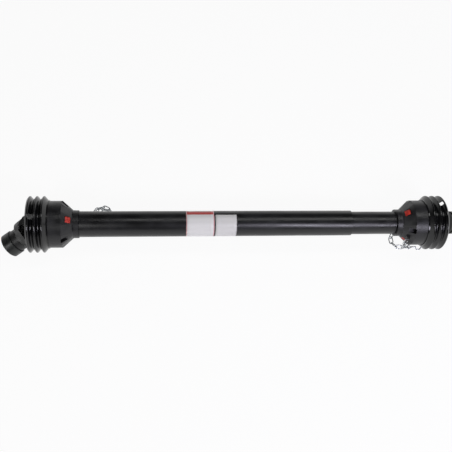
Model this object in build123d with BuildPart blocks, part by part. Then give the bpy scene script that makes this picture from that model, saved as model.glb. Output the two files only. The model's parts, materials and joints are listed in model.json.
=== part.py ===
"""A telescopic farm driveshaft that carries power from a tractor to an implement.

Two steel profile tubes slide in each other and end in universal joints with splined yokes.
A plastic guard in two halves covers the tubes and joints and stays still while the drive turns.
The shaft lies along X on the floor, resting on the ribbed rings of its guard, with +Z up. The
origin is on the shaft's axis, at the middle of the outer guard tube. Sizes are in millimetres.
"""

from math import asin, atan2, cos, degrees, hypot, isclose, radians, sin, sqrt, tan
import os

from build123d import *

os.makedirs("parts", exist_ok=True)

# Guard tubes: the right one slides inside the left one
outer_guard_length = 720.0
outer_guard_od = 66.0
inner_guard_length = 640.0
guard_tube_wall = 2.5
guard_slide_gap = 0.5
inner_guard_shown = 121.2

# Guard cones: a collar on the tube, a taper with windows, and a plain bell
collar_length = 13.5
collar_r = 35.6
tube_seat_depth = 11.5
tube_seat_gap = 0.1
tube_stop_length = 2.0
taper_length = 27.0
bell_length = 33.0
bell_r = 59.6
guard_wall = 3.0
bell_in_ring = 10.0

# Windows for the bearing ring's lugs, and the release pockets between them
window_count = 3
window_length = 13.0
window_width = 17.0
window_from_collar = 25.0
pocket_width = 13.0
pocket_floor_r = 46.0
pocket_past_taper = 1.5
pocket_skin = 2.4
pocket_eye_width = 9.0
pocket_eye_height = 6.0
panel_depth = 1.5
panel_width = 26.0
left_window_angle = 10.0
right_window_angle = -12.0

# Chain eye on each cone
eye_from_collar = 25.0
eye_hole_r = 3.3
eye_hole_at_r = 53.0
eye_rim = 2.7
eye_thickness = 4.0
left_eye_angle = -140.0
right_eye_angle = 78.0

# Ribbed rings that cover the universal joints
rib_count = 3
rib_pitch = 17.5
rib_flank = 49.0
rib_crest_radius = 2.4
rib_valley_radius = 2.0
ring_crest_r = 72.0
ring_wall = 2.5
ring_back_length = 12.5
ring_back_r = 62.0
ring_fit_gap = 0.15
mouth_past_crest = 5.0
access_length = 15.0
access_width = 14.0
access_corner_r = 3.0
left_access_angle = 7.0
right_access_angle = -26.0

# Universal joints: four bearing cups on a cross, between two forks
cross_to_mouth = 30.0
cup_r = 13.5
cup_half_span = 37.3
cup_length = 12.8
cup_end_wall = 1.4
cup_fit_gap = 0.02
trunnion_r = 8.0
trunnion_gap = 0.05
spider_core_r = 13.5
spider_neck_r = 10.5
nipple_seat_r = 5.0
nipple_seat_rise = 0.6
nipple_shank_r = 2.4
nipple_shank = 4.0
nipple_hexagon = 7.0
nipple_hexagon_height = 3.0
nipple_tip = 5.0
circlip_thickness = 1.2
circlip_depth = 0.8
circlip_width = 2.6
circlip_gap_width = 7.0
ear_face = 39.5
arm_face = 37.0
ear_inner = 24.0
ear_r = 21.0
fork_throat = 46.0
throat_corner_r = 10.0
fork_width = 58.0
joint_phase = 24.0

# Inner yokes: a fork, a groove for the guard bearing and a profiled socket for the tube
inner_shoulder_start = 42.0
inner_shoulder_end = 52.0
boss_r = 31.0
boss_gap = 1.0
groove_r = 28.0
groove_width = 10.0
socket_floor = 50.5
socket_gap = 0.15
roll_pin_r = 5.0
roll_pin_bore_r = 3.0
roll_pin_slot = 2.0
roll_pin_from_cross = 58.5
roll_pin_gap = 0.04

# Guard bearing rings of red nylon
bearing_gap = 0.05
bearing_side_gap = 0.3
bearing_outer_r = 35.0
bearing_split = 2.0
lug_side_gap = 0.5
lug_below_skin = 0.8

# Profile tubes: rounded triangles that slide in each other and carry the torque
profile_flat_r = 17.5
profile_corner_r = 10.5
outer_profile_wall = 3.4
inner_profile_wall = 4.0
profile_gap = 0.3
outer_profile_length = 722.0
inner_profile_length = 645.0
tube_end_gap = 0.5

# End yokes: a fork and a splined hub with a spring-loaded locking collar
outer_shoulder_start = 54.0
outer_shoulder_end = 62.0
hub_r = 28.4
hub_end = 105.0
hub_nose_r = 25.0
hub_nose_start = 81.5
spline_count = 6
spline_minor_r = 14.9
spline_major_r = 17.5
spline_width = 8.7
lead_in = 1.5
lock_collar_r = 31.2
lock_collar_start = 77.9
lock_collar_end = 101.9
lock_web_start = 95.5
lock_gap = 0.08
lock_edge = 1.2
snap_ring_thickness = 1.8
snap_ring_depth = 1.5
snap_ring_width = 3.8
snap_ring_gap_width = 9.0
ball_r = 4.5
ball_count = 3
ball_centre_r = 20.0
ball_from_cross = 97.0
ball_gap = 0.1
spring_wire_r = 1.1
spring_mean_r = 27.0
spring_turns = 3.0
spring_end_gap = 0.15

# How the crosses lie at rest, in degrees
left_cross_turn = 34.0
right_cross_turn = 0.0

# Safety chains: links of bent wire that fall from the eye, coil on the floor and end in a hook
link_wire = 3.0
link_inner_length = 17.6
link_inner_width = 7.4
link_slack = 1.3
link_roll = 45.0
link_roll_step = 15.0
link_bend_steps = 5
eye_to_joint = 2.4
coil_r = 23.0
coil_rise = 11.0
coil_step = 15.0
floor_gap = 0.05
hook_wire = 3.6
hook_eye_r = 4.6
hook_eye_from_joint = 2.8
hook_bow_r = 8.0
hook_shank = 14.0
hook_roll = 25.0
hook_step = 30.0
hook_eye_opening = 60.0
hook_bow_turn = 210.0

# Left chain: its fall to the coil, the coil's middle, and its tail on the floor. Each place is a
# distance from the cone's collar along the shaft, then one across it, and a height for the fall
left_fall = [(21.0, 45.0, -54.5), (10.0, 51.0, -63.0), (-4.5, 52.5, -65.5), (-18.5, 53.0, -55.5)]
left_fall += [(-28.5, 39.0, -43.5), (-43.5, 29.0, -42.5)]
left_coil_at = (-55.5, 48.5)
left_coil_start = -90.0
left_coil_turns = 2.0
left_coil_drop = (0.0, 2.0)
left_tail = [(-72.0, 22.5), (-89.0, 30.0), (-108.0, 34.0)]

# Right chain
right_fall = [(24.5, -55.5, -9.0), (27.5, -56.0, -27.0), (32.5, -55.5, -40.5), (41.0, -47.0, -54.0)]
right_coil_at = (30.5, -21.0)
right_coil_start = -55.0
right_coil_turns = 0.875
right_coil_drop = (0.0, 0.2)
right_tail = [(48.5, -44.5), (61.5, -42.5)]

# Worked out from the sizes above
tube_r = outer_guard_od / 2
tube_bore_r = tube_r - guard_tube_wall
inner_tube_r = tube_bore_r - guard_slide_gap
inner_tube_bore_r = inner_tube_r - guard_tube_wall
taper_end = collar_length + taper_length
junction = taper_end + bell_length
first_crest = junction + ring_back_length
last_crest = first_crest + (rib_count - 1) * rib_pitch
mouth = last_crest + mouth_past_crest
left_collar_x = -outer_guard_length / 2 + tube_seat_depth
right_collar_x = outer_guard_length / 2 + inner_guard_shown
cross_from_collar = mouth - cross_to_mouth
left_cross_x = left_collar_x - cross_from_collar
right_cross_x = right_collar_x + cross_from_collar
boss_end = cross_from_collar - tube_seat_depth - tube_stop_length - boss_gap
groove_centre = cross_from_collar - window_from_collar
taper_slope = (bell_r - collar_r) / taper_length
wall_across_taper = guard_wall * hypot(1, taper_slope)
floor_z = -ring_crest_r
link_pitch = link_inner_length - link_slack
link_end_r = (link_inner_width + link_wire) / 2
link_low = floor_z + floor_gap + link_end_r * sin(radians(link_roll)) + link_wire / 2
tube_start = socket_floor + tube_end_gap


def taper_r(from_collar):
    """Outer radius of the cone's taper at a distance from the collar's tube end."""
    return collar_r + (from_collar - collar_length) * taper_slope


def toward(angle):
    """Unit vector across the shaft, turned from straight up toward -Y by the angle."""
    return Vector(0, -sin(radians(angle)), cos(radians(angle)))


def radial_plane(side, x, angle):
    """Plane on the shaft's axis facing outward at an angle, with its x along the shaft."""
    return Plane(origin=(x, 0, 0), x_dir=(side, 0, 0), z_dir=toward(angle))


def round_profile(points, x, side):
    """Points of a profile that is given as distances along the shaft and radii."""
    return [(x + side * along, radius) for along, radius in points]


def save(piece, name):
    """Labels a finished piece and writes its file."""
    piece.part.label = name
    export_step(piece.part, f"parts/{name}.step")


def guard_tube(start_x, length, radius):
    """A plain guard tube."""
    with BuildPart() as tube:
        with BuildSketch(Plane.YZ.offset(start_x)):
            Circle(radius)
            Circle(radius - guard_tube_wall, mode=Mode.SUBTRACT)
        extrude(amount=length)
    return tube


def guard_cone(side, x, seat_r, window_angle, eye_angle):
    """A moulded cone: collar, tapered part with windows and pockets, bell, and a chain eye."""
    seat = seat_r + tube_seat_gap
    stop_end = tube_seat_depth + tube_stop_length
    inside_start = (stop_end, taper_r(stop_end) - wall_across_taper)
    inside_end_at = collar_length + (bell_r - guard_wall - collar_r + wall_across_taper) / taper_slope
    outside = [(0, collar_r), (collar_length, collar_r), (taper_end, bell_r)]
    outside += [(junction + bell_in_ring, bell_r)]
    inside = [(junction + bell_in_ring, bell_r - guard_wall), (inside_end_at, bell_r - guard_wall)]
    inside += [inside_start, (stop_end, seat_r - guard_tube_wall)]
    inside += [(tube_seat_depth, seat_r - guard_tube_wall), (tube_seat_depth, seat), (0, seat)]
    pocket_angles = [window_angle + 60 + turn * 360 / window_count for turn in range(window_count)]
    pocket_start = collar_length + (pocket_floor_r - collar_r) / taper_slope
    pocket_end = taper_end + pocket_past_taper
    with BuildPart() as cone:
        with BuildSketch(Plane.XZ):
            with BuildLine():
                Polyline(round_profile(outside + inside, x, side), close=True)
            make_face()
        revolve(axis=Axis.X)
        # A pan under each pocket closes it toward the joint
        for angle in pocket_angles:
            with BuildSketch(radial_plane(side, x, angle).offset(pocket_floor_r - pocket_skin)):
                with Locations(((pocket_start + pocket_end + pocket_skin) / 2, 0)):
                    Rectangle(
                        pocket_end - pocket_start + pocket_skin, pocket_width + 2 * pocket_skin
                    )
            extrude(amount=bell_r - guard_wall / 2 - pocket_floor_r + pocket_skin)
        with BuildSketch(Plane.XZ):
            with BuildLine():
                Polyline(
                    round_profile(outside + [(junction + bell_in_ring, 0), (0, 0)], x, side),
                    close=True,
                )
            make_face()
        revolve(axis=Axis.X, mode=Mode.INTERSECT)
        for angle in pocket_angles:
            with BuildSketch(radial_plane(side, x, angle).offset(pocket_floor_r)):
                with Locations(((pocket_start + pocket_end) / 2, 0)):
                    Rectangle(pocket_end - pocket_start + 0.02, pocket_width)
            extrude(amount=bell_r, mode=Mode.SUBTRACT)
            across = Plane(
                origin=(x + side * (pocket_end - pocket_skin), 0, 0),
                x_dir=toward(angle),
                z_dir=(side, 0, 0),
            )
            with BuildSketch(across):
                with Locations((pocket_floor_r + pocket_eye_height / 2 + pocket_skin, 0)):
                    Rectangle(pocket_eye_height, pocket_eye_width)
            extrude(amount=3 * pocket_skin, mode=Mode.SUBTRACT)
        for turn in range(window_count):
            angle = window_angle + turn * 360 / window_count
            with BuildSketch(radial_plane(side, x, angle).offset(bearing_outer_r)):
                with Locations((window_from_collar, 0)):
                    Rectangle(window_length, window_width)
            extrude(amount=bell_r, mode=Mode.SUBTRACT)
        # Flat panels on the taper, between the windows and the pockets
        slant = Vector(side * taper_length, 0, 0)
        middle = collar_length + taper_length / 2
        for turn in range(2 * window_count):
            outward = toward(window_angle + 30 + turn * 180 / window_count)
            along = (slant + outward * (bell_r - collar_r)).normalized()
            across = outward.cross(Vector(side, 0, 0))
            panel = Plane(
                origin=Vector(x + side * middle, 0, 0) + outward * taper_r(middle),
                x_dir=along,
                z_dir=along.cross(across) * -1,
            )
            with BuildSketch(panel.offset(-panel_depth)):
                Rectangle(hypot(taper_length, bell_r - collar_r), panel_width)
            extrude(amount=2 * panel_depth, mode=Mode.SUBTRACT)
        # The eye is a plate across the shaft, so a link hangs from it in any direction
        eye_plane = Plane(
            origin=(x + side * (eye_from_collar - eye_thickness / 2), 0, 0),
            x_dir=toward(eye_angle),
            z_dir=(side, 0, 0),
        )
        eye_r = eye_hole_r + eye_rim
        root_r = taper_r(eye_from_collar) - wall_across_taper / 2
        with BuildSketch(eye_plane):
            with Locations((eye_hole_at_r, 0)):
                Circle(eye_r)
            with Locations(((root_r + eye_hole_at_r) / 2, 0)):
                Rectangle(eye_hole_at_r - root_r, 2 * eye_r)
            with Locations((eye_hole_at_r, 0)):
                Circle(eye_hole_r, mode=Mode.SUBTRACT)
        extrude(amount=eye_thickness)
    return cone


def ribbed_ring(side, x, access_angle):
    """A soft ribbed ring: a sleeve on the bell, pointed ribs with round tips, and an open mouth."""
    seat = bell_r + ring_fit_gap
    stop = junction + bell_in_ring
    slope = tan(radians(rib_flank))
    # A rounded corner ends short of its point by this share of its radius
    short = hypot(1, slope) - 1
    tip = ring_crest_r + rib_crest_radius * short
    valley = tip - slope * rib_pitch / 2
    wall = ring_wall * hypot(1, slope)
    ribs = []
    for half in range(2 * rib_count - 1):
        ribs.append((first_crest + half * rib_pitch / 2, valley if half % 2 else tip))
    ribs.append((mouth, tip - slope * mouth_past_crest))
    inner_ribs = [(along, radius - wall) for along, radius in ribs]
    outside = [(stop, seat), (junction, seat), (junction, ring_back_r)]
    outside += [(first_crest - (tip - ring_back_r) / slope, ring_back_r)] + ribs
    roundings = {tip: rib_crest_radius, valley: rib_valley_radius}
    roundings[valley - wall] = rib_valley_radius + ring_wall
    with BuildPart() as ring:
        with BuildSketch(Plane.XZ) as profile:
            with BuildLine():
                Polyline(round_profile(outside + inner_ribs[::-1], x, side), close=True)
            make_face()
            for level, radius in roundings.items():
                fillet([end for end in profile.vertices() if isclose(end.Y, level)], radius)
        revolve(axis=Axis.X)
        # The hole gives a grease gun access to the joint's nipple
        access_at = last_crest - rib_pitch / 2
        with BuildSketch(radial_plane(side, x, access_angle).offset(bell_r)):
            with Locations((access_at, 0)):
                RectangleRounded(access_length, access_width, access_corner_r)
        extrude(amount=ring_crest_r, mode=Mode.SUBTRACT)
    return ring


def bearing_ring(side, x, window_angle):
    """A nylon ring that runs in the inner yoke's groove and carries the guard by its lugs."""
    ring_half = groove_width / 2 - bearing_side_gap
    lug_half = window_length / 2 - lug_side_gap
    centre = window_from_collar
    lug_root = (bearing_outer_r + groove_r) / 2 + 1
    sides = (centre - lug_half, centre + lug_half)
    tops = [taper_r(along) - lug_below_skin for along in sides]
    outline = [(sides[0], lug_root), (sides[1], lug_root), (sides[1], tops[1]), (sides[0], tops[0])]
    with BuildPart() as ring:
        with BuildSketch(Plane.YZ.offset(x + side * centre)):
            Circle(bearing_outer_r)
            Circle(groove_r + bearing_gap, mode=Mode.SUBTRACT)
        extrude(amount=ring_half, both=True)
        for turn in range(window_count):
            angle = window_angle + turn * 360 / window_count
            lug_plane = Plane(
                origin=(x, 0, 0),
                x_dir=(side, 0, 0),
                z_dir=Vector(side, 0, 0).cross(toward(angle)),
            )
            with BuildSketch(lug_plane):
                with BuildLine():
                    Polyline(outline, close=True)
                make_face()
            extrude(amount=window_width / 2 - lug_side_gap, both=True)
        split_angle = window_angle + 180 / window_count
        with BuildSketch(radial_plane(side, x, split_angle).offset(groove_r / 2)):
            with Locations((centre, 0)):
                Rectangle(2 * groove_width, bearing_split)
        extrude(amount=bearing_outer_r, mode=Mode.SUBTRACT)
    return ring


def profile_tube(start_x, length, flat_r, corner_r, wall, fork_frame):
    """A tube with the section of a rounded triangle, drilled for the pin of its yoke."""
    with BuildPart() as tube:
        across = Plane(origin=(start_x, 0, 0), x_dir=toward(joint_phase), z_dir=(1, 0, 0))
        with BuildSketch(across) as outer:
            RegularPolygon(flat_r, 3, major_radius=False)
            fillet(outer.vertices(), corner_r)
        extrude(amount=length)
        with BuildSketch(across) as inner:
            RegularPolygon(flat_r - wall, 3, major_radius=False)
            fillet(inner.vertices(), corner_r - wall)
        extrude(amount=length, mode=Mode.SUBTRACT)
        with BuildSketch(roll_pin_plane(fork_frame)):
            Circle(roll_pin_r + roll_pin_gap)
        extrude(amount=boss_r, both=True, mode=Mode.SUBTRACT)
    return tube


def joint_planes(side, cross_x, cross_turn, yoke_turn):
    """Planes on a joint's centre: inner fork, cross, and end yoke.

    The inner fork's pins point toward the viewer. The cross turns about them, which swings the
    end yoke across the view, and the end yoke turns about its own pins, away from the viewer.
    """
    centre = Vector(cross_x, 0, 0)
    outward = Vector(side, 0, 0)
    pins = toward(joint_phase)
    down = toward(joint_phase + 90)
    turn = radians(cross_turn)
    tip = radians(yoke_turn)
    swung = outward * cos(turn) + down * sin(turn)
    cross_pins = down * cos(turn) - outward * sin(turn)
    hub = swung * cos(tip) - pins * sin(tip)
    return (
        Plane(origin=centre, x_dir=pins, z_dir=-outward),
        Plane(origin=centre, x_dir=pins, z_dir=pins.cross(cross_pins) * -side),
        Plane(origin=centre, x_dir=cross_pins, z_dir=hub),
    )


def dropped_turn(cross_turn):
    """How far an end yoke turns on its own pins until its lock collar's rim meets the floor."""
    rim = lock_collar_end - lock_edge
    height = ring_crest_r - floor_gap
    drop = asin(height / hypot(rim, lock_collar_r)) - atan2(lock_collar_r, rim)
    by_cross = sin(radians(cross_turn)) * sin(radians(joint_phase))
    by_yoke = cos(radians(joint_phase))
    return degrees(asin(sin(drop) / hypot(by_cross, by_yoke)) - atan2(by_cross, by_yoke))


def pin_plane(frame):
    """Plane across a fork's pins, with its x along the fork."""
    return Plane(origin=frame.origin, x_dir=frame.z_dir, z_dir=frame.x_dir)


def fork(frame, shoulder_start, shoulder_end, base_r):
    """Adds a forged fork: two eyes for bearing cups, joined by a rounded base."""
    reach = ear_r + 1
    flare = fork_throat - ear_r / 3
    side_plane = Plane(origin=frame.origin, x_dir=frame.z_dir, z_dir=frame.y_dir)
    with BuildSketch(pin_plane(frame)) as eyes:
        Circle(ear_r)
        with BuildLine():
            Polyline(
                (0, ear_r),
                (ear_r, ear_r),
                (flare, fork_width / 2),
                (shoulder_end, fork_width / 2),
                (shoulder_end, -fork_width / 2),
                (flare, -fork_width / 2),
                (ear_r, -ear_r),
                (0, -ear_r),
                close=True,
            )
        make_face()
    extrude(eyes.sketch, amount=ear_face, both=True)
    with BuildSketch(side_plane) as arms:
        with BuildLine():
            Polyline(
                (-reach, ear_face),
                (ear_r, ear_face),
                (reach + ear_face - arm_face, arm_face),
                (shoulder_start, arm_face),
                (shoulder_end, base_r),
                (shoulder_end, -base_r),
                (shoulder_start, -arm_face),
                (reach + ear_face - arm_face, -arm_face),
                (ear_r, -ear_face),
                (-reach, -ear_face),
                close=True,
            )
        make_face()
        RectangleRounded(2 * fork_throat, 2 * ear_inner, throat_corner_r, mode=Mode.SUBTRACT)
    extrude(arms.sketch, amount=fork_width, both=True, mode=Mode.INTERSECT)
    envelope_r = hypot(ear_face, ear_r)
    with BuildSketch(side_plane) as envelope:
        with BuildLine():
            Polyline(
                (-reach, 0),
                (-reach, ear_face + 1),
                (0, envelope_r),
                (ear_r, envelope_r),
                (shoulder_start, arm_face + 0.5),
                (shoulder_end, base_r + 1),
                (shoulder_end, 0),
                close=True,
            )
        make_face()
    revolve(envelope.sketch, axis=Axis(frame.origin, frame.z_dir), mode=Mode.INTERSECT)
    with BuildSketch(pin_plane(frame)) as bore:
        Circle(cup_r + cup_fit_gap)
    extrude(bore.sketch, amount=ear_face + 1, both=True, mode=Mode.SUBTRACT)
    for end in (-1, 1):
        with BuildSketch(pin_plane(frame).offset(end * (cup_half_span + cup_fit_gap))) as lip:
            Circle(cup_r + circlip_depth)
        extrude(
            lip.sketch, amount=end * (circlip_thickness + 3 * cup_fit_gap), mode=Mode.SUBTRACT
        )


def inner_yoke(frame, flat_r, corner_r):
    """The yoke between a profile tube and the cross, with the groove that carries the guard."""
    boss_start = inner_shoulder_start + (inner_shoulder_end - inner_shoulder_start) / 2
    with BuildPart() as yoke:
        fork(frame, inner_shoulder_start, inner_shoulder_end, boss_r)
        with BuildSketch(frame.offset(boss_start)):
            Circle(boss_r)
        extrude(amount=boss_end - boss_start)
        with BuildSketch(frame.offset(groove_centre - groove_width / 2)):
            Circle(boss_r + 1)
            Circle(groove_r, mode=Mode.SUBTRACT)
        extrude(amount=groove_width, mode=Mode.SUBTRACT)
        # The socket takes the profile tube, and a pin crosses both
        with BuildSketch(frame.offset(socket_floor)) as socket:
            RegularPolygon(flat_r + socket_gap, 3, major_radius=False)
            fillet(socket.vertices(), corner_r + socket_gap)
        extrude(amount=boss_end, mode=Mode.SUBTRACT)
        with BuildSketch(roll_pin_plane(frame)):
            Circle(roll_pin_r + roll_pin_gap)
        extrude(amount=boss_r + 1, both=True, mode=Mode.SUBTRACT)
    return yoke


def roll_pin_plane(frame):
    """Plane across the roll pin, which crosses the boss square to the fork's pins."""
    along = frame.origin + frame.z_dir * roll_pin_from_cross
    return Plane(origin=along, x_dir=frame.z_dir, z_dir=frame.y_dir)


def roll_pin(frame):
    """A slotted spring pin that holds the profile tube in its yoke."""
    with BuildPart() as pin:
        with BuildSketch(roll_pin_plane(frame)):
            Circle(roll_pin_r)
            Circle(roll_pin_bore_r, mode=Mode.SUBTRACT)
            with Locations((roll_pin_r, 0)):
                Rectangle(2 * roll_pin_r, roll_pin_slot, mode=Mode.SUBTRACT)
        extrude(amount=boss_r - 1, both=True)
    return pin


def spider(frame):
    """The cross: a forged core with four ground trunnions and a boss for the grease nipple."""
    trunnion_end = cup_half_span - cup_end_wall - 2 * trunnion_gap
    neck_end = cup_half_span - cup_length - 4 * trunnion_gap
    with BuildPart() as cross:
        with Locations(frame.location):
            Sphere(spider_core_r)
        for direction in (frame.x_dir, frame.y_dir):
            arm = Plane(origin=frame.origin, z_dir=direction)
            with BuildSketch(arm):
                Circle(spider_neck_r)
            extrude(amount=neck_end, both=True)
            with BuildSketch(arm):
                Circle(trunnion_r)
            extrude(amount=trunnion_end, both=True)
        with BuildSketch(frame):
            Circle(nipple_seat_r)
        extrude(amount=spider_core_r + nipple_seat_rise)
        with BuildSketch(frame.offset(spider_core_r + nipple_seat_rise)):
            Circle(nipple_shank_r + cup_fit_gap)
        extrude(amount=-nipple_shank, mode=Mode.SUBTRACT)
    return cross


def grease_nipple(frame):
    """A grease nipple with a hexagon and a ball-shaped tip, screwed into the cross."""
    seat = spider_core_r + nipple_seat_rise
    with BuildPart() as nipple:
        with BuildSketch(frame.offset(seat - nipple_shank + cup_fit_gap)):
            Circle(nipple_shank_r)
        extrude(amount=nipple_shank)
        with BuildSketch(frame.offset(seat + cup_fit_gap)):
            RegularPolygon(nipple_hexagon / 2, 6, major_radius=False)
        extrude(amount=nipple_hexagon_height)
        with BuildSketch(frame.offset(seat + nipple_hexagon_height)):
            Circle(nipple_shank_r)
        extrude(amount=nipple_tip)
    return nipple


def bearing_cups(frame):
    """Two closed needle-bearing cups, pressed into a fork's eyes."""
    with BuildPart() as cups:
        for end in (-1, 1):
            outer_end = pin_plane(frame).offset(end * cup_half_span)
            with BuildSketch(outer_end):
                Circle(cup_r)
            extrude(amount=-end * cup_length)
            with BuildSketch(outer_end.offset(-end * cup_end_wall)):
                Circle(trunnion_r + trunnion_gap)
            extrude(amount=-end * cup_length, mode=Mode.SUBTRACT)
    return cups


def circlips(frame):
    """Two retaining rings that sit in the eyes' grooves, outside the cups."""
    outer_r = cup_r + circlip_depth - 2 * cup_fit_gap
    with BuildPart() as rings:
        for end in (-1, 1):
            with BuildSketch(pin_plane(frame).offset(end * (cup_half_span + 2 * cup_fit_gap))):
                Circle(outer_r)
                Circle(outer_r - circlip_width, mode=Mode.SUBTRACT)
                with Locations((-outer_r, 0)):
                    Rectangle(outer_r, circlip_gap_width, mode=Mode.SUBTRACT)
            extrude(amount=end * circlip_thickness)
    return rings


def ball_planes(frame):
    """Planes on the hub's axis, each facing out at one locking ball."""
    centre = frame.origin + frame.z_dir * ball_from_cross
    half_spline = 180 / spline_count
    planes = []
    for ball in range(ball_count):
        turn = radians(half_spline + ball * 360 / ball_count)
        facing = frame.x_dir * cos(turn) + frame.y_dir * sin(turn)
        planes.append(Plane(origin=centre, x_dir=frame.z_dir, z_dir=facing))
    return planes


def end_yoke(frame):
    """The yoke at the shaft's end: a fork and a splined hub, turned down for its lock collar."""
    with BuildPart() as yoke:
        fork(frame, outer_shoulder_start, outer_shoulder_end, hub_r)
        with BuildSketch(frame.offset(fork_throat + throat_corner_r)):
            Circle(hub_r)
        extrude(amount=hub_nose_start - fork_throat - throat_corner_r)
        with BuildSketch(frame.offset(hub_nose_start)):
            Circle(hub_nose_r)
        extrude(amount=hub_end - hub_nose_start)
        with BuildSketch(frame.offset(fork_throat - 1)) as bore:
            Circle(spline_minor_r)
            for spline in range(spline_count // 2):
                Rectangle(2 * spline_major_r, spline_width, rotation=spline * 360 / spline_count)
            Circle(spline_major_r, mode=Mode.INTERSECT)
        extrude(amount=hub_end, mode=Mode.SUBTRACT)
        with BuildSketch(frame.offset(hub_end - lead_in)):
            Circle(spline_major_r + lead_in / 3)
        extrude(amount=2 * lead_in, mode=Mode.SUBTRACT)
        with BuildSketch(frame.offset(lock_collar_end + lock_gap)):
            Circle(hub_nose_r + 1)
            Circle(hub_nose_r - snap_ring_depth, mode=Mode.SUBTRACT)
        extrude(amount=snap_ring_thickness + 2 * lock_gap, mode=Mode.SUBTRACT)
        for plane in ball_planes(frame):
            with BuildSketch(plane):
                Circle(ball_r + ball_gap)
            extrude(amount=hub_r, mode=Mode.SUBTRACT)
    return yoke


def lock_collar(frame):
    """The sliding collar: its inner web holds the balls in, and its skirt covers the spring."""
    with BuildPart() as collar:
        with BuildSketch(frame.offset(lock_collar_start)):
            Circle(lock_collar_r)
            Circle(hub_nose_r + lock_gap, mode=Mode.SUBTRACT)
        extrude(amount=lock_collar_end - lock_collar_start)
        rims = collar.edges().filter_by(GeomType.CIRCLE)
        chamfer([rim for rim in rims if rim.radius > hub_r], lock_edge)
        with BuildSketch(frame.offset(lock_collar_start)):
            Circle(hub_r + lock_gap)
        extrude(amount=lock_web_start - lock_collar_start, mode=Mode.SUBTRACT)
    return collar


def snap_ring(frame):
    """The retaining ring that the spring holds the lock collar against."""
    inner_r = hub_nose_r - snap_ring_depth + lock_gap
    outer_r = inner_r + snap_ring_width
    with BuildPart() as ring:
        with BuildSketch(frame.offset(lock_collar_end + 2 * lock_gap)):
            Circle(outer_r)
            Circle(inner_r, mode=Mode.SUBTRACT)
            with Locations((-outer_r, 0)):
                Rectangle(outer_r, snap_ring_gap_width, mode=Mode.SUBTRACT)
        extrude(amount=snap_ring_thickness)
    return ring


def lock_balls(frame):
    """Steel balls that drop into the groove of a power take-off shaft."""
    with BuildPart() as balls:
        for plane in ball_planes(frame):
            with Locations(plane.offset(ball_centre_r).location):
                Sphere(ball_r)
    return balls


def lock_spring(frame):
    """The coil spring between the hub's shoulder and the lock collar's web."""
    room = lock_web_start - hub_nose_start
    height = room - 2 * spring_wire_r - 2 * spring_end_gap
    start = frame.offset(hub_nose_start + spring_wire_r + spring_end_gap)
    with BuildPart() as spring:
        with BuildLine() as path:
            Helix(
                height / spring_turns,
                height,
                spring_mean_r,
                center=start.origin,
                direction=start.z_dir,
            )
        with BuildSketch(Plane(origin=path.line @ 0, z_dir=path.line % 0)):
            Circle(spring_wire_r)
        sweep(path=path.line, is_frenet=True)
    return spring


def coil_points(side, collar_x, middle, start, turns, drop):
    """Points of a coil on the floor, which drops to the lowest level between two turn counts."""
    top = max(1, abs(turns))
    steps = round(abs(turns) * 360 / coil_step)
    points = []
    for step in range(steps + 1):
        done = step / steps * abs(turns)
        level = top * min(1, max(0, (drop[1] - done) / (drop[1] - drop[0])))
        angle = radians(start + step / steps * turns * 360)
        points.append(
            Vector(
                collar_x + side * middle[0] + coil_r * cos(angle),
                middle[1] + coil_r * sin(angle),
                link_low + level * coil_rise,
            )
        )
    return points


def chain_joints(side, collar_x, eye_angle, fall, coil, tail):
    """Joints between a chain's links, one pitch apart along its fall, coil and tail."""
    hole = toward(eye_angle) * eye_hole_at_r + Vector(collar_x + side * eye_from_collar, 0, 0)
    falling = [Vector(collar_x + side * along, across, up) for along, across, up in fall]
    first = hole + (falling[0] - hole).normalized() * eye_to_joint
    points = [first] + falling + coil
    points += [Vector(collar_x + side * along, across, link_low) for along, across in tail]
    joints = [first]
    for start, end in zip(points, points[1:]):
        while (end - joints[-1]).length >= link_pitch:
            along = end - start
            away = start - joints[-1]
            reach = away.dot(away) - link_pitch**2
            middle = along.dot(away)
            part = (sqrt(middle**2 - along.dot(along) * reach) - middle) / along.dot(along)
            start = start + along * part
            joints.append(start)
    return joints


def link_planes(joints):
    """One plane per link, its x along the link and its y across it.

    The first link's end runs along the shaft, through the eye. Each link is rolled a quarter turn
    from the one before, and the rolls drift to how a chain lies on a floor.
    """
    planes = []
    wide = Vector(1, 0, 0)
    for start, end in zip(joints, joints[1:]):
        along = (end - start).normalized()
        wide = (wide - along * wide.dot(along)).normalized()
        lying = Vector(0, 0, 1).cross(along).normalized()
        roll = degrees(atan2(along.dot(lying.cross(wide)), lying.dot(wide)))
        off = (roll + link_roll) % 90
        turn = -off if off < 45 else 90 - off
        turn = max(-link_roll_step, min(link_roll_step, turn))
        wide = wide.rotate(Axis((0, 0, 0), along), turn)
        planes.append(Plane(origin=(start + end) / 2, x_dir=along, z_dir=along.cross(wide)))
        wide = along.cross(wide)
    return planes


def wire_sweep(points, wire, closed):
    """A length of wire bent along points on the XY plane, with a six-sided section."""
    with BuildPart() as bent:
        with BuildLine() as path:
            Polyline(*points, close=closed)
        with BuildSketch(Plane(origin=path.line @ 0, x_dir=(0, 0, 1), z_dir=path.line % 0)):
            RegularPolygon(wire / 2, 6)
        sweep(path=path.line, transition=Transition.RIGHT)
    return bent


def chain(planes):
    """A chain of welded links, each threaded through the next."""
    straight = (link_inner_length + link_wire) / 2 - link_end_r
    points = [(0, -link_end_r)]
    for end, first in ((1, -90), (-1, 90)):
        for step in range(link_bend_steps + 1):
            angle = radians(first + step * 180 / link_bend_steps)
            points.append((end * straight + link_end_r * cos(angle), link_end_r * sin(angle)))
    link = wire_sweep(points, link_wire, True)
    with BuildPart() as links:
        with Locations(*[plane.location for plane in planes]):
            add(link.part)
    return links


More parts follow.
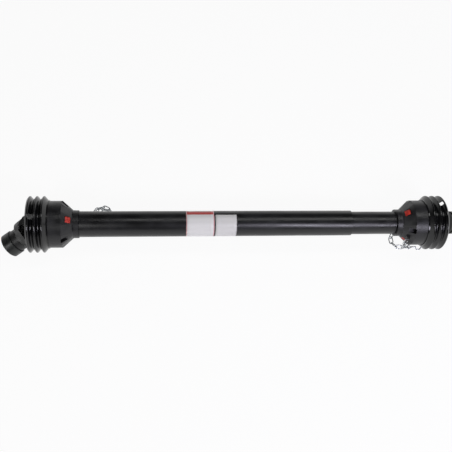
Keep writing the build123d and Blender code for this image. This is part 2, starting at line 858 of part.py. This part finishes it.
def chain_hook(joint, last):
    """An open hook of bent wire, its eye threaded on the chain's last link."""
    eye_at = hook_eye_from_joint
    bow_at = eye_at + hook_eye_r + hook_shank
    points = []
    for step in range(round((360 - hook_eye_opening) / hook_step) + 1):
        angle = radians(hook_eye_opening / 2 + step * hook_step)
        points.append((eye_at + hook_eye_r * cos(angle), hook_eye_r * sin(angle)))
    points.append((eye_at + hook_eye_r, 0))
    for step in range(round(hook_bow_turn / hook_step) + 1):
        angle = radians(180 + step * hook_step)
        points.append((bow_at + hook_bow_r * (1 + cos(angle)), hook_bow_r * sin(angle)))
    bent = wire_sweep(points, hook_wire, False)
    lying = Vector(0, 0, 1).cross(last.x_dir).normalized()
    roll = hook_roll if last.y_dir.Z * last.y_dir.dot(lying) < 0 else -hook_roll
    wide = lying.rotate(Axis((0, 0, 0), last.x_dir), roll)
    with BuildPart() as hook:
        with Locations(Plane(origin=joint, x_dir=last.x_dir, z_dir=last.x_dir.cross(wide)).location):
            add(bent.part)
    return hook


save(guard_tube(-outer_guard_length / 2, outer_guard_length, tube_r), "outer_guard_tube")
inner_tube_end = right_collar_x + tube_seat_depth
save(
    guard_tube(inner_tube_end - inner_guard_length, inner_guard_length, inner_tube_r),
    "inner_guard_tube",
)

left_planes = joint_planes(-1, left_cross_x, left_cross_turn, dropped_turn(left_cross_turn))
right_planes = joint_planes(1, right_cross_x, right_cross_turn, dropped_turn(right_cross_turn))
slide_flat_r = profile_flat_r - outer_profile_wall - profile_gap
slide_corner_r = profile_corner_r - outer_profile_wall - profile_gap
save(
    profile_tube(
        left_cross_x + tube_start,
        outer_profile_length,
        profile_flat_r,
        profile_corner_r,
        outer_profile_wall,
        left_planes[0],
    ),
    "outer_profile_tube",
)
save(
    profile_tube(
        right_cross_x - tube_start - inner_profile_length,
        inner_profile_length,
        slide_flat_r,
        slide_corner_r,
        inner_profile_wall,
        right_planes[0],
    ),
    "inner_profile_tube",
)

save(guard_cone(-1, left_collar_x, tube_r, left_window_angle, left_eye_angle), "left_guard_cone")
save(
    guard_cone(1, right_collar_x, inner_tube_r, right_window_angle, right_eye_angle),
    "right_guard_cone",
)
save(ribbed_ring(-1, left_collar_x, left_access_angle), "left_ribbed_ring")
save(ribbed_ring(1, right_collar_x, right_access_angle), "right_ribbed_ring")
save(bearing_ring(-1, left_collar_x, left_window_angle), "left_bearing_ring")
save(bearing_ring(1, right_collar_x, right_window_angle), "right_bearing_ring")
save(inner_yoke(left_planes[0], profile_flat_r, profile_corner_r), "left_inner_yoke")
save(inner_yoke(right_planes[0], slide_flat_r, slide_corner_r), "right_inner_yoke")

for end, (fork_frame, cross_frame, hub_frame) in (("left", left_planes), ("right", right_planes)):
    save(roll_pin(fork_frame), f"{end}_roll_pin")
    save(spider(cross_frame), f"{end}_cross")
    save(grease_nipple(cross_frame), f"{end}_grease_nipple")
    save(bearing_cups(fork_frame), f"{end}_inner_cups")
    save(bearing_cups(hub_frame), f"{end}_outer_cups")
    save(circlips(fork_frame), f"{end}_inner_circlips")
    save(circlips(hub_frame), f"{end}_outer_circlips")
    save(end_yoke(hub_frame), f"{end}_end_yoke")
    save(lock_collar(hub_frame), f"{end}_lock_collar")
    save(snap_ring(hub_frame), f"{end}_snap_ring")
    save(lock_balls(hub_frame), f"{end}_lock_balls")
    save(lock_spring(hub_frame), f"{end}_lock_spring")

left_coil = coil_points(
    -1, left_collar_x, left_coil_at, left_coil_start, left_coil_turns, left_coil_drop
)
left_joints = chain_joints(-1, left_collar_x, left_eye_angle, left_fall, left_coil, left_tail)
left_links = link_planes(left_joints)
save(chain(left_links), "left_chain")
save(chain_hook(left_joints[-1], left_links[-1]), "left_chain_hook")
right_coil = coil_points(
    1, right_collar_x, right_coil_at, right_coil_start, right_coil_turns, right_coil_drop
)
right_joints = chain_joints(1, right_collar_x, right_eye_angle, right_fall, right_coil, right_tail)
right_links = link_planes(right_joints)
save(chain(right_links), "right_chain")
save(chain_hook(right_joints[-1], right_links[-1]), "right_chain_hook")
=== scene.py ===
"""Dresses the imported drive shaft: mesh, materials, light and camera, in the order it is built."""

import json

import bpy
import numpy as np
from mathutils import Matrix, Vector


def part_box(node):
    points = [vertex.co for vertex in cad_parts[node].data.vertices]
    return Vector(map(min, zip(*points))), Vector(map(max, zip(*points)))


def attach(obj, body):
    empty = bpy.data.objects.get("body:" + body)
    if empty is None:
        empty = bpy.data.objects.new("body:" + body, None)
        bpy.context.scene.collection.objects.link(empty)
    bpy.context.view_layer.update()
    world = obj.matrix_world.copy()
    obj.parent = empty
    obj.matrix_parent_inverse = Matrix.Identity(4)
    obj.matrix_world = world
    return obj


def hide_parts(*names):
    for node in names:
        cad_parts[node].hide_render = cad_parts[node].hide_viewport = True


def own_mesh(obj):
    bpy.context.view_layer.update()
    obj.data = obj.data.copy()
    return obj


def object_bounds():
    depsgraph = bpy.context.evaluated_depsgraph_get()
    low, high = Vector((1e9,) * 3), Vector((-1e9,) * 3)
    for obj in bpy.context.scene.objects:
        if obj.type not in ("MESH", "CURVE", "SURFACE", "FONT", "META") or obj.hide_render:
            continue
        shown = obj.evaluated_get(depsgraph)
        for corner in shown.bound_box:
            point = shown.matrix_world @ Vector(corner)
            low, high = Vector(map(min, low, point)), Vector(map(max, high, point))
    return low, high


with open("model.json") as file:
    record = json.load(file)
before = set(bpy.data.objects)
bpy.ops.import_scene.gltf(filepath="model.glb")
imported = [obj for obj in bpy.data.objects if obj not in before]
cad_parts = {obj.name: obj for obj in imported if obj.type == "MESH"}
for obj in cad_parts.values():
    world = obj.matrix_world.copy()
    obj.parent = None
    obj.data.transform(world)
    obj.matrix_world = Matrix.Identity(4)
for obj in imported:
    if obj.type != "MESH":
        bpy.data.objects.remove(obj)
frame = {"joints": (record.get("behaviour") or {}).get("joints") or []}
cad_box = [list(corner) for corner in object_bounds()]
bpy.context.scene.view_settings.view_transform = "Standard"


# Profile tubes: two drawn steel tubes that slide in each other and carry the turning force.
# They are drawn through a die and oiled, which leaves long bright lines and darker oil patches.

def linear(code):
    """Turns an sRGB hex code such as "1a2b3c" into a linear colour with full alpha."""
    part = np.array([int(code[at : at + 2], 16) for at in (0, 2, 4)]) / 255
    straight = np.where(part <= 0.04045, part / 12.92, ((part + 0.055) / 1.055) ** 2.4)
    return (*straight.tolist(), 1.0)


def add(material, kind, settings=(), **links):
    """Adds a shader node: settings are values by socket or property, links are sockets by name."""
    made = material.node_tree.nodes.new(kind)
    for name, value in dict(settings).items():
        if isinstance(name, str) and name not in made.inputs:
            setattr(made, name, value)
        else:
            made.inputs[name].default_value = value
    for name, socket in links.items():
        inlet = int(name[3:]) if name.startswith("at_") else name.replace("_", " ")
        material.node_tree.links.new(socket, made.inputs[inlet])
    return made


mm_in_metre = 1000


def mottled(name, shades, patch, dull, settings=()):
    """A finish whose colour and dullness drift in soft patches.

    A noise with patches of a size in millimetres runs the colour from the first hex shade to the
    second, and the roughness from the first dullness to the second, both over the middle of the
    noise's range, where nearly all of it lies. Gives the material, its shader and the object
    coordinates.
    """
    shade_stops = 0.38, 0.66
    dull_from, dull_to = 0.35, 0.65
    material = bpy.data.materials.new(name)
    material.use_nodes = True
    material.node_tree.nodes.clear()
    place = add(material, "ShaderNodeTexCoord").outputs["Object"]
    drift = add(
        material, "ShaderNodeTexNoise", {"Scale": mm_in_metre / patch, "Detail": 6.0}, Vector=place
    ).outputs["Fac"]
    shade = add(material, "ShaderNodeValToRGB", Fac=drift)
    for stop, position, code in zip(shade.color_ramp.elements, shade_stops, shades):
        stop.position, stop.color = position, linear(code)
    rough = add(
        material,
        "ShaderNodeMapRange",
        {"From Min": dull_from, "From Max": dull_to, "To Min": dull[0], "To Max": dull[1]},
        Value=drift,
    )
    skin = add(
        material,
        "ShaderNodeBsdfPrincipled",
        settings,
        Base_Color=shade.outputs[0],
        Roughness=rough.outputs[0],
    )
    output = add(material, "ShaderNodeOutputMaterial")
    material.node_tree.links.new(skin.outputs[0], output.inputs["Surface"])
    return material, skin, place


def grained(material, skin, place, grain, depth, strength):
    """Adds a fine relief: a noise with grains of a size in millimetres along X, Y and Z.

    A grain that is too fine for the render is drawn coarser than the real one, so that it shows.
    """
    stretched = add(
        material, "ShaderNodeMapping", {"Scale": [mm_in_metre / size for size in grain]}, Vector=place
    )
    noise = add(
        material, "ShaderNodeTexNoise", {"Scale": 1.0, "Detail": 3.0}, Vector=stretched.outputs[0]
    )
    relief = add(
        material,
        "ShaderNodeBump",
        {"Strength": strength, "Distance": depth / mm_in_metre},
        Height=noise.outputs["Fac"],
    )
    material.node_tree.links.new(relief.outputs[0], skin.inputs["Normal"])


# Corners that lie closer together than this, in metres, are one corner
weld_reach = 0.00001


def dress(material, names, sharp=32.0):
    """Gives CAD nodes a material, and shades them smooth except at edges sharper than an angle."""
    for name in names:
        shape = bpy.data.objects[name]
        shape.data.shade_smooth()
        for slot in shape.material_slots:
            slot.material = material
        merge = shape.modifiers.new("merge", "WELD")
        merge.merge_threshold = weld_reach
        split = shape.modifiers.new("sharp_edges", "EDGE_SPLIT")
        split.split_angle = np.radians(sharp)


bare_metal = {"Metallic": 1.0}

# Drawn steel: die lines 0.6 mm apart along the tube, drawn coarser than real so that they show
drawn_steel, skin, place = mottled(
    "drawn_oiled_steel", ("6e6c68", "8f8d88"), patch=45.0, dull=(0.28, 0.45), settings=bare_metal
)
grained(drawn_steel, skin, place, grain=(90.0, 0.6, 0.6), depth=0.05, strength=0.3)
dress(drawn_steel, ("outer_profile_tube", "inner_profile_tube"))

# Blued spring steel: rolled strip with a dark oxide skin, a little blue where the light catches it
blued_steel, skin, place = mottled(
    "blued_spring_strip", ("2b2d33", "44464d"), patch=6.0, dull=(0.3, 0.42), settings=bare_metal
)
grained(blued_steel, skin, place, grain=(1.5, 0.4, 0.4), depth=0.03, strength=0.25)
dress(blued_steel, ("left_roll_pin", "right_roll_pin"))


# Yokes: drop forgings, two on the profile tubes and two splined ones at the ends of the shaft.
# The black paint keeps the forging's pebbled skin, and dulls in soft patches.

# Paint and plastics bend light about alike
polymer = {"IOR": 1.5}

# Painted forging: a satin black whose low pebbles, 3 mm wide, break up the light on it
painted_forging, skin, place = mottled(
    "black_painted_forging", ("060607", "0d0e0e"), patch=14.0, dull=(0.4, 0.52), settings=polymer
)
grained(painted_forging, skin, place, grain=(3.0, 3.0, 3.0), depth=0.15, strength=0.12)
for end in ("left", "right"):
    dress(painted_forging, [f"{end}_inner_yoke", f"{end}_end_yoke"])


# Crosses: each has four ground trunnions that turn in needle cups held by circlips.
# They are turned and ground from bearing steel, and a grease nipple is screwed into each.

# Ground bearing steel: fine bright lines from the wheel, and grease that darkens it in patches
ground_steel, skin, place = mottled(
    "ground_bearing_steel", ("77777a", "a3a3a6"), patch=9.0, dull=(0.16, 0.32), settings=bare_metal
)
grained(ground_steel, skin, place, grain=(0.5, 8.0, 0.5), depth=0.02, strength=0.25)

# Phosphated spring steel: a dull dark grey with the fine crystal of the phosphate bath
spring_steel, skin, place = mottled(
    "phosphated_spring_steel", ("1d1e20", "323336"), patch=4.0, dull=(0.35, 0.5), settings=bare_metal
)
grained(spring_steel, skin, place, grain=(0.8, 0.8, 0.8), depth=0.03, strength=0.3)

# Yellow passivated zinc: a thin pale gold coat on small turned parts, bright and even
yellow_zinc, skin, place = mottled(
    "yellow_passivated_zinc", ("a79a62", "c4b987"), patch=3.0, dull=(0.24, 0.36), settings=bare_metal
)
grained(yellow_zinc, skin, place, grain=(0.6, 0.6, 0.6), depth=0.02, strength=0.2)
for end in ("left", "right"):
    dress(ground_steel, [f"{end}_{name}" for name in ("cross", "inner_cups", "outer_cups")])
    dress(spring_steel, [f"{end}_{name}" for name in ("inner_circlips", "outer_circlips")])
    dress(yellow_zinc, [f"{end}_grease_nipple"])


# Quick locks: a turned collar slides back on each hub against a coil spring and frees the balls.
# The collars are turned from steel bar, then phosphated and oiled.

def piece(name, points, faces, body, material):
    """A smooth mesh of points and quads that rides on a body, turned so its faces point outward.

    The sign of the enclosed volume, summed over the faces' corners, says which way they point.
    """
    first, second, third, last = (points[faces[:, corner]] for corner in range(4))
    signed = np.einsum("ij,ij->i", first, np.cross(second, third)).sum()
    signed += np.einsum("ij,ij->i", first, np.cross(third, last)).sum()
    if signed < 0:
        faces = faces[:, ::-1]
    mesh = bpy.data.meshes.new(name)
    mesh.from_pydata(points.tolist(), [], faces.tolist())
    mesh.shade_smooth()
    mesh.materials.append(material)
    shape = bpy.data.objects.new(name, mesh)
    bpy.context.scene.collection.objects.link(shape)
    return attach(shape, body)


def grid_faces(rows, columns, wrap_rows, wrap_columns):
    """Quads between neighbouring points of a grid, joined end to end where it wraps."""
    row, column = np.meshgrid(
        np.arange(rows if wrap_rows else rows - 1),
        np.arange(columns if wrap_columns else columns - 1),
        indexing="ij",
    )
    below = (row + 1) % rows
    beside = (column + 1) % columns
    quads = [row * columns + column, row * columns + beside, below * columns + beside]
    quads.append(below * columns + column)
    return np.stack(quads, -1).reshape(-1, 4)


def coiled(centre, axis, low, high, mean, wire, turns, steps=40, columns=12):
    """A round wire wound round an axis: its middle climbs steadily from low to high as it goes
    round, with as many steps in each turn, and its section is a circle that shrinks to a point
    at both ends."""
    sideways = np.cross(axis, [0.0, 0.0, 1.0])
    sideways /= np.linalg.norm(sideways)
    upright = np.cross(axis, sideways)
    rows = steps * turns + 3
    done = np.clip((np.arange(rows) - 1) / (rows - 3), 0, 1)[:, None, None]
    size = np.full(rows, wire)
    size[[0, -1]] = 0
    size = size[:, None, None]
    round_wire = np.linspace(0, 2 * np.pi, columns, endpoint=False)[None, :, None]
    turn = 2 * np.pi * turns * done
    outward = sideways * np.cos(turn) + upright * np.sin(turn)
    climb = low + wire + done * (high - low - 2 * wire) + size * np.sin(round_wire)
    points = centre + axis * climb + outward * (mean + size * np.cos(round_wire))
    return points.reshape(-1, 3), grid_faces(rows, columns, False, True)


# Phosphated turned steel: a greenish black crystal skin that shines softly with oil
phosphated_collar, skin, place = mottled(
    "phosphated_turned_steel", ("0a0c0b", "151816"), patch=10.0, dull=(0.32, 0.46), settings=polymer
)
grained(phosphated_collar, skin, place, grain=(0.9, 0.9, 0.9), depth=0.05, strength=0.35)
joints = {joint["name"]: joint for joint in frame["joints"]}
spring_turns = 3
for end in ("left", "right"):
    dress(phosphated_collar, [f"{end}_lock_collar"])
    dress(spring_steel, [f"{end}_snap_ring"])
    dress(ground_steel, [f"{end}_lock_balls"])
    joint_centre = np.array(joints[f"{end}_yoke_swing"]["pos_m"])
    hub_axis = -np.array(joints[f"{end}_lock_slide"]["axis"])
    cad_spring = bpy.data.objects[f"{end}_lock_spring"].data
    corners = np.empty(len(cad_spring.vertices) * 3)
    cad_spring.vertices.foreach_get("co", corners)
    corners = corners.reshape(-1, 3) - joint_centre
    along = corners @ hub_axis
    from_axis = np.linalg.norm(corners - along[:, None] * hub_axis, axis=1)
    wire = (from_axis.max() - from_axis.min()) / 2
    mean = (from_axis.max() + from_axis.min()) / 2
    points, quads = coiled(
        joint_centre, hub_axis, along.min(), along.max(), mean, wire, spring_turns
    )
    spring = piece(f"{end}_lock_coil", points, quads, f"{end}_end_yoke", spring_steel)
    closed_ends = spring.modifiers.new("closed_ends", "WELD")
    closed_ends.merge_threshold = weld_reach
    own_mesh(spring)
    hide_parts(f"{end}_lock_spring")


# Guard tubes: two extruded polyethylene tubes, the right one sliding in the left one.
# The extruder's die leaves faint lines along them, and handling leaves dull scuffs.

def rounded(corners, reach, steps=4):
    """A closed outline whose corners are eased: each corner becomes a parabola between the two
    points that lie a reach away from it on its two sides."""
    corners = np.asarray(corners, float)
    back = np.roll(corners, 1, 0) - corners
    ahead = np.roll(corners, -1, 0) - corners
    start = corners + back / np.linalg.norm(back, axis=1, keepdims=True) * reach
    end = corners + ahead / np.linalg.norm(ahead, axis=1, keepdims=True) * reach
    part = np.linspace(0, 1, steps)[None, :, None]
    curve = (1 - part) ** 2 * start[:, None] + 2 * part * (1 - part) * corners[:, None]
    return (curve + part**2 * end[:, None]).reshape(-1, 2)


def turned(outline, segments=128):
    """A closed outline of (along, radius) carried round the X axis: height is radius times the
    angle's cosine, and depth is radius times its sine. Gives points and quads."""
    angle = np.linspace(0, 2 * np.pi, segments, endpoint=False)
    along, radius = outline[:, 0, None], outline[:, 1, None]
    points = np.stack(
        [along + 0 * angle, -radius * np.sin(angle), radius * np.cos(angle)], -1
    )
    return points.reshape(-1, 3), grid_faces(len(outline), segments, True, True)


# Extruded black polyethylene: a satin skin with die lines about 1 mm apart and soft scuffs
extruded_tube, skin, place = mottled(
    "extruded_black_polyethylene", ("0a0a0c", "131316"), patch=46.0, dull=(0.28, 0.4), settings=polymer
)
grained(extruded_tube, skin, place, grain=(250.0, 1.1, 1.1), depth=0.1, strength=0.25)
tube_wall = 0.0025
eased_edge = 0.0004
for name, body in (("outer_guard_tube", "outer_guard"), ("inner_guard_tube", "inner_guard")):
    low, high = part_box(name)
    bore = high[2] - tube_wall
    section = [(low[0], high[2]), (high[0], high[2]), (high[0], bore), (low[0], bore)]
    points, quads = turned(rounded(section, eased_edge))
    tube = piece(f"{name}_skin", points, quads, body, extruded_tube)
    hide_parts(name)


# Labels: two bare plates of printed vinyl film, stuck round the outer guard tube.
# The left one has a red band and a pale red border, the right one only a pale grey border.

film_lengthwise, film_round = 9, 61


def wrapped(start, end, low_angle, high_angle, radius):
    """An open sheet bent round the X axis between two angles in degrees: height is the radius
    times the angle's cosine, and depth is the radius times its sine."""
    along, angle = np.meshgrid(
        np.linspace(start, end, film_lengthwise),
        np.radians(np.linspace(low_angle, high_angle, film_round)),
        indexing="ij",
    )
    points = np.stack([along, -radius * np.sin(angle), radius * np.cos(angle)], -1)
    return points.reshape(-1, 3), grid_faces(film_lengthwise, film_round, False, False)


# Printed vinyl film: smooth and slightly glossy, off white, with a faint ripple from the tube
film_thickness = 0.00012
tube_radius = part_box("outer_guard_tube")[1][2]
# The band's middle and half width as shares of the way round, and the border's distance from
# the middle as a share of the length
band_middle, band_reach, border_from = 0.165, 0.07, 0.47
for name, start, end, low_angle, high_angle, paper, band, border in (
    ("left_plate", -0.0774, -0.0053, -66.0, 128.0, "e4e3e1", "c2403b", "e3aeb0"),
    ("right_plate", -0.0021, 0.0525, -19.0, 128.0, "dcdbd9", "dcdbd9", "c9c8c6"),
):
    film, skin, place = mottled(
        f"printed_vinyl_{name}", (paper, paper), patch=30.0, dull=(0.28, 0.4), settings=polymer
    )
    grained(film, skin, place, grain=(9.0, 9.0, 9.0), depth=0.2, strength=0.2)
    plain = skin.inputs["Base Color"].links[0].from_socket
    film_map = add(film, "ShaderNodeSeparateXYZ", Vector=add(film, "ShaderNodeUVMap").outputs[0])
    along, around = film_map.outputs[0], film_map.outputs[1]
    in_band = add(
        film, "ShaderNodeMath", {"operation": "COMPARE", 1: band_middle, 2: band_reach}, at_0=around
    )
    from_middle = add(film, "ShaderNodeMath", {"operation": "SUBTRACT", 1: 0.5}, at_0=along)
    from_side = add(film, "ShaderNodeMath", {"operation": "ABSOLUTE"}, at_0=from_middle.outputs[0])
    at_border = add(
        film, "ShaderNodeMath", {"operation": "GREATER_THAN", 1: border_from}, at_0=from_side.outputs[0]
    )
    banded = add(
        film,
        "ShaderNodeMix",
        {"data_type": "RGBA", 7: linear(band)},
        at_0=in_band.outputs[0],
        at_6=plain,
    )
    edged = add(
        film,
        "ShaderNodeMix",
        {"data_type": "RGBA", 7: linear(border)},
        at_0=at_border.outputs[0],
        at_6=banded.outputs[2],
    )
    film.node_tree.links.new(edged.outputs[2], skin.inputs["Base Color"])
    points, quads = wrapped(start, end, low_angle, high_angle, tube_radius)
    plate = piece(name, points, quads, "outer_guard", film)
    sheet = plate.data.uv_layers.new(name="sheet")
    corner = np.empty(len(plate.data.loops), int)
    plate.data.loops.foreach_get("vertex_index", corner)
    lengthwise_share = corner // film_round / (film_lengthwise - 1)
    round_share = corner % film_round / (film_round - 1)
    sheet.data.foreach_set("uv", np.stack([lengthwise_share, round_share], -1).ravel())
    thick = plate.modifiers.new("film", "SOLIDIFY")
    thick.thickness, thick.offset = film_thickness, 1.0


# Bearing rings: red nylon rings that turn on the inner yokes, with lugs that snap into windows.
# They are injection moulded, and split once so that they spring over the yoke.

def ease_edges(name, label, width, segments, angle, clamp=True):
    """Rounds a CAD node's edges that are sharper than an angle, right after its corners merge."""
    shape = bpy.data.objects[name]
    eased = shape.modifiers.new(label, "BEVEL")
    eased.width, eased.segments, eased.limit_method = width, segments, "ANGLE"
    eased.angle_limit = np.radians(angle)
    eased.use_clamp_overlap = clamp
    shape.modifiers.move(shape.modifiers.find(label), 1)


# Moulded nylon: a soft sheen, with slightly paler, duller patches where it rubs
red_nylon, skin, place = mottled(
    "moulded_red_nylon", ("a3221a", "d0392a"), patch=7.0, dull=(0.34, 0.5), settings={"IOR": 1.53}
)
grained(red_nylon, skin, place, grain=(0.8, 0.8, 0.8), depth=0.05, strength=0.25)
lug_rounding = 0.0016
for end in ("left", "right"):
    dress(red_nylon, [f"{end}_bearing_ring"])
    ease_edges(f"{end}_bearing_ring", "lug_edges", lug_rounding, segments=2, angle=60.0, clamp=False)


# Guard cones and ribbed rings: moulded bells that seat on the tube ends and hold the bearing
# rings, and the soft ribbed rings that are pushed on them and cover the joints.

# Spark-grained polyethylene: the mould's fine matt grain, drawn 1.2 mm wide so that it shows
moulded_cone, skin, place = mottled(
    "spark_grained_polyethylene", ("0d0d0f", "18181b"), patch=30.0, dull=(0.34, 0.48), settings=polymer
)
grained(moulded_cone, skin, place, grain=(1.2, 1.2, 1.2), depth=0.12, strength=0.35)
dress(moulded_cone, ("left_guard_cone", "right_guard_cone"))

# Soft polyurethane: polished in the mould, with flow marks running round the ribs
soft_ring, skin, place = mottled(
    "polished_soft_polyurethane", ("070708", "0e0e10"), patch=24.0, dull=(0.1, 0.2), settings=polymer
)
grained(soft_ring, skin, place, grain=(5.0, 40.0, 40.0), depth=0.1, strength=0.12)
dress(soft_ring, ("left_ribbed_ring", "right_ribbed_ring"))


# Safety chains: welded links and an open hook on each cone, bent from steel wire.
# They are zinc plated after the links are welded.

# Bright zinc plating: a clean grey shine with slightly duller spots
bright_zinc, skin, place = mottled(
    "bright_zinc_plated_wire", ("a9adb0", "d3d6d8"), patch=3.5, dull=(0.18, 0.34), settings=bare_metal
)
grained(bright_zinc, skin, place, grain=(0.9, 0.9, 0.9), depth=0.04, strength=0.3)
wire_names = [f"{end}_{name}" for end in ("left", "right") for name in ("chain", "chain_hook")]
wire_rounding = 0.0004
dress(bright_zinc, wire_names, sharp=75.0)
for name in wire_names:
    ease_edges(name, "round_wire", wire_rounding, segments=1, angle=40.0)


# Camera: at the photograph's place, high above the near side of the shaft.
# The right end is a little farther away than the left one.

def stand(name, data, right, top, back, spot):
    """Puts a camera or a lamp at a spot, with its right, top and back along three directions."""
    turn = np.eye(4)
    turn[:3] = np.stack([right, top, back, spot], axis=1)
    holder = bpy.data.objects.new(name, data)
    holder.matrix_world = Matrix(turn.tolist())
    bpy.context.scene.collection.objects.link(holder)
    return holder


elevation, yaw, roll = np.radians((66.0, 6.6, 0.29))
ahead = np.array([0.0, np.cos(elevation), -np.sin(elevation)])
forward = ahead * np.cos(yaw) + np.array([np.sin(yaw), 0.0, 0.0])
right = np.array([np.cos(yaw), 0.0, 0.0]) - ahead * np.sin(yaw)
up = np.cross(right, forward)
right, up = right * np.cos(roll) - up * np.sin(roll), up * np.cos(roll) + right * np.sin(roll)

# The point looked at is a little right of the origin, and shows above the picture's middle
looked_at = np.array([0.028, 0.0, 0.0])
distance = 1.878
above_middle_pixels, focal_pixels, picture_pixels = 2.5, 720.0, 452
sensor_mm = 36.0
spot = looked_at - distance * (forward + above_middle_pixels / focal_pixels * up)
view_camera = bpy.data.cameras.new("camera")
view_camera.sensor_width = sensor_mm
view_camera.lens = sensor_mm * focal_pixels / picture_pixels
bpy.context.scene.camera = stand("camera", view_camera, right, up, -forward, spot)


# Studio: a plain white floor, a surround that is white low down and dim above, and soft lamps.
# One lamp hangs above and behind, and two stand in front, right and left of the shaft.

floor_white = bpy.data.materials.new("studio_floor_paper")
floor_white.use_nodes = True
floor_white.node_tree.nodes.clear()
paper = add(floor_white, "ShaderNodeBsdfDiffuse", {"Color": linear("f4f4f4")})
shown = add(floor_white, "ShaderNodeEmission", {"Color": linear("ffffff"), "Strength": 1.0})

# The eye and reflections see mostly plain white there, and the rest keeps the shaft's shadow
plain_share = 0.93
rays = add(floor_white, "ShaderNodeLightPath")
seen = rays.outputs["Is Camera Ray"]
for ray in ("Is Glossy Ray", "Is Transmission Ray"):
    wider = add(floor_white, "ShaderNodeMath", {"operation": "MAXIMUM"}, at_0=seen, at_1=rays.outputs[ray])
    seen = wider.outputs[0]
share = add(floor_white, "ShaderNodeMath", {"operation": "MULTIPLY", 1: plain_share}, at_0=seen)
mixed = add(
    floor_white,
    "ShaderNodeMixShader",
    at_0=share.outputs[0],
    at_1=paper.outputs[0],
    at_2=shown.outputs[0],
)
output = add(floor_white, "ShaderNodeOutputMaterial")
floor_white.node_tree.links.new(mixed.outputs[0], output.inputs["Surface"])
floor_reach = 9
floor_z = cad_box[0][2]
floor_corners = [
    (x * floor_reach, y * floor_reach, floor_z) for x, y in ((-1, -1), (1, -1), (1, 1), (-1, 1))
]
floor_mesh = bpy.data.meshes.new("studio_floor")
floor_mesh.from_pydata(floor_corners, [], [(0, 1, 2, 3)])
floor_mesh.materials.append(floor_white)
floor = bpy.data.objects.new("studio_floor", floor_mesh)
bpy.context.scene.collection.objects.link(floor)

# The surround glows at full strength up to a low height and fades to a dim one above it, and
# the eye sees it plain white all over
bright_below, dim_above, dim_glow = 0.05, 0.3, 0.05
world = bpy.data.worlds.new("studio")
world.use_nodes = True
bpy.context.scene.world = world
sky = world.node_tree.nodes["Background"]
sky.inputs["Color"].default_value = linear("ffffff")
heading = add(world, "ShaderNodeTexCoord").outputs["Generated"]
level = add(world, "ShaderNodeSeparateXYZ", Vector=heading).outputs[2]
glow = add(
    world,
    "ShaderNodeMapRange",
    {"From Min": bright_below, "From Max": dim_above, "To Min": 1.0, "To Max": dim_glow},
    Value=level,
)
backdrop = add(
    world,
    "ShaderNodeMath",
    {"operation": "MAXIMUM"},
    at_0=glow.outputs[0],
    at_1=add(world, "ShaderNodeLightPath").outputs["Is Camera Ray"],
)
world.node_tree.links.new(backdrop.outputs[0], sky.inputs["Strength"])

# Each lamp looks at the origin, and its width lies square to the Y axis
for name, lamp_spot, width, depth, watts, tint in (
    ("lamp_above", (0.5, 0.4, 1.6), 2.4, 0.3, 9.0, "ffffff"),
    ("lamp_right", (0.95, -1.3, 1.25), 1.1, 0.4, 20.0, "f1eeff"),
    ("lamp_left", (-1.25, -1.1, 1.31), 0.5, 0.4, 9.0, "ffffff"),
):
    lamp = bpy.data.lights.new(name, "AREA")
    lamp.shape = "RECTANGLE"
    lamp.size, lamp.size_y, lamp.energy = width, depth, watts
    lamp.color = linear(tint)[:3]
    away = np.array(lamp_spot) / np.linalg.norm(lamp_spot)
    side = np.cross([0.0, 1.0, 0.0], away)
    side /= np.linalg.norm(side)
    stand(name, lamp, side, np.cross(away, side), away, lamp_spot)
